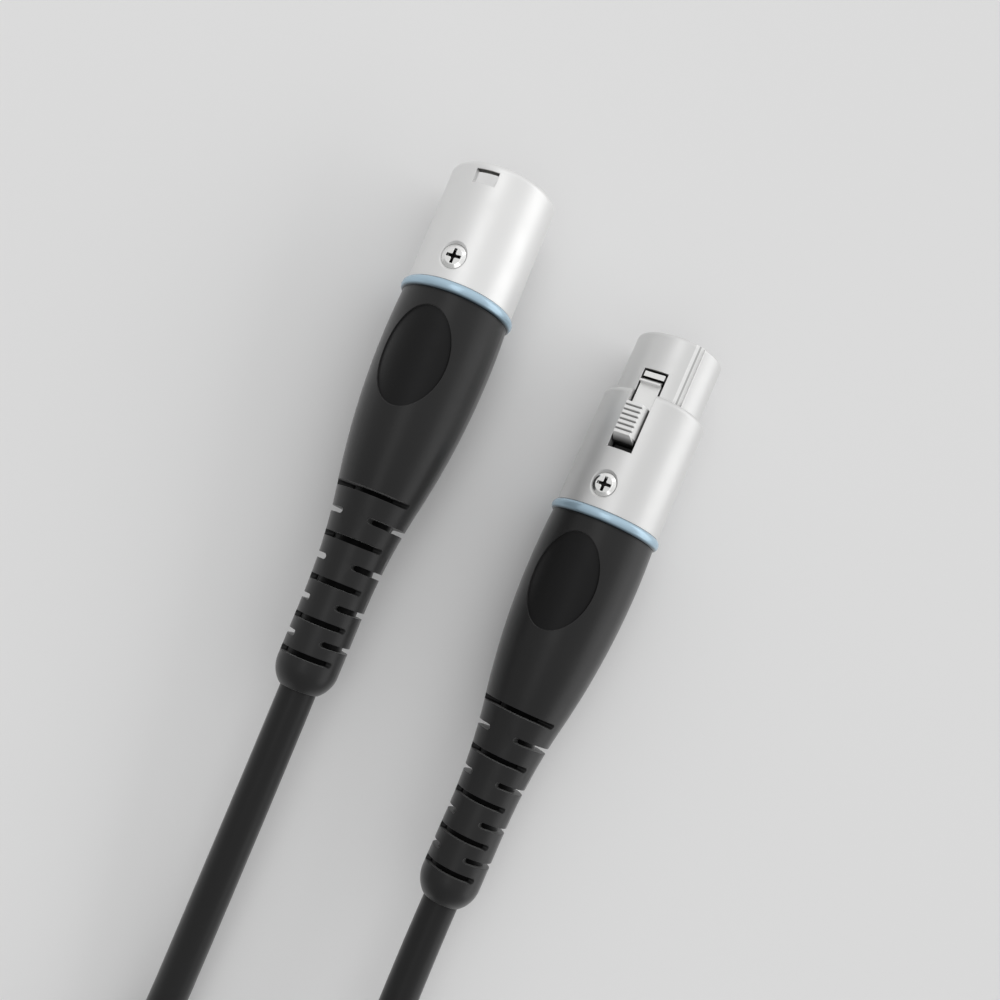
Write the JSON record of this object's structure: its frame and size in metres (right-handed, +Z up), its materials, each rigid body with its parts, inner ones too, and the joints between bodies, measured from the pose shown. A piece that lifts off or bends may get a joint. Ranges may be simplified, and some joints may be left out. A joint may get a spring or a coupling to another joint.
{
  "type": "microphone cable",
  "caption": "Round audio cable in a tied coil, with a male and a female circular connector that have metal shells, coloured rings and slotted rubber boots.",
  "frame": {"origin": "on the surface that the cable lies on, under the middle of the box round the two connectors without the cable between them", "axes": "+Z up; +Y along the male connector, from its boot to its mouth; +X towards the female connector"},
  "size_m": [0.0802, 0.2512, 0.029],
  "materials": {
    "shell": "satin nickel plate",
    "latch": "satin nickel plate",
    "screw": "bright plated",
    "ring": "smooth light blue",
    "insulator": "moulded, black",
    "contact": "silver plate on brass",
    "tag": "tinned strip",
    "spring": "spring steel",
    "boot": "matt charcoal",
    "clamp": "moulded, black",
    "jacket": "matt black",
    "core_red": "wire insulation, red",
    "core_white": "wire insulation, white",
    "core_copper": "twisted copper",
    "strap": "woven, black"
  },
  "bodies": {
    "cable": {"male_shell": "shell", "male_insert": "insulator", "male_pin_1": "contact", "male_pin_2": "contact", "male_pin_3": "contact", "male_ground_tag": "tag", "male_screw": "screw", "male_accent_ring": "ring", "male_boot": "boot", "male_cable_clamp": "clamp", "male_cable_end": "jacket", "male_shield_wire": "core_copper", "male_hot_wire": "core_red", "male_cold_wire": "core_white", "male_lead": "jacket", "female_shell": "shell", "female_insert": "insulator", "female_socket_1": "contact", "female_socket_2": "contact", "female_socket_3": "contact", "female_ground_tag": "tag", "female_screw": "screw", "female_accent_ring": "ring", "female_boot": "boot", "female_cable_clamp": "clamp", "female_cable_end": "jacket", "female_shield_wire": "core_copper", "female_hot_wire": "core_red", "female_cold_wire": "core_white", "female_lead": "jacket", "latch_spring": "spring", "latch_pin": "screw", "cable_coil": "jacket", "coil_tie": "strap"},
    "latch": {"latch_lever": "latch"}
  },
  "joints": [
    {"name": "latch_press", "type": "hinge", "parent": "cable", "child": "latch", "pos_m": [0.01646, 0.02289, 0.01473], "axis": [-0.8029, 0.0386, -0.5948], "range_deg": [0, 4], "stiffness_Nm_per_rad": 0.12, "springref_deg": -4.58, "deforming": ["latch_spring"]}
  ]
}
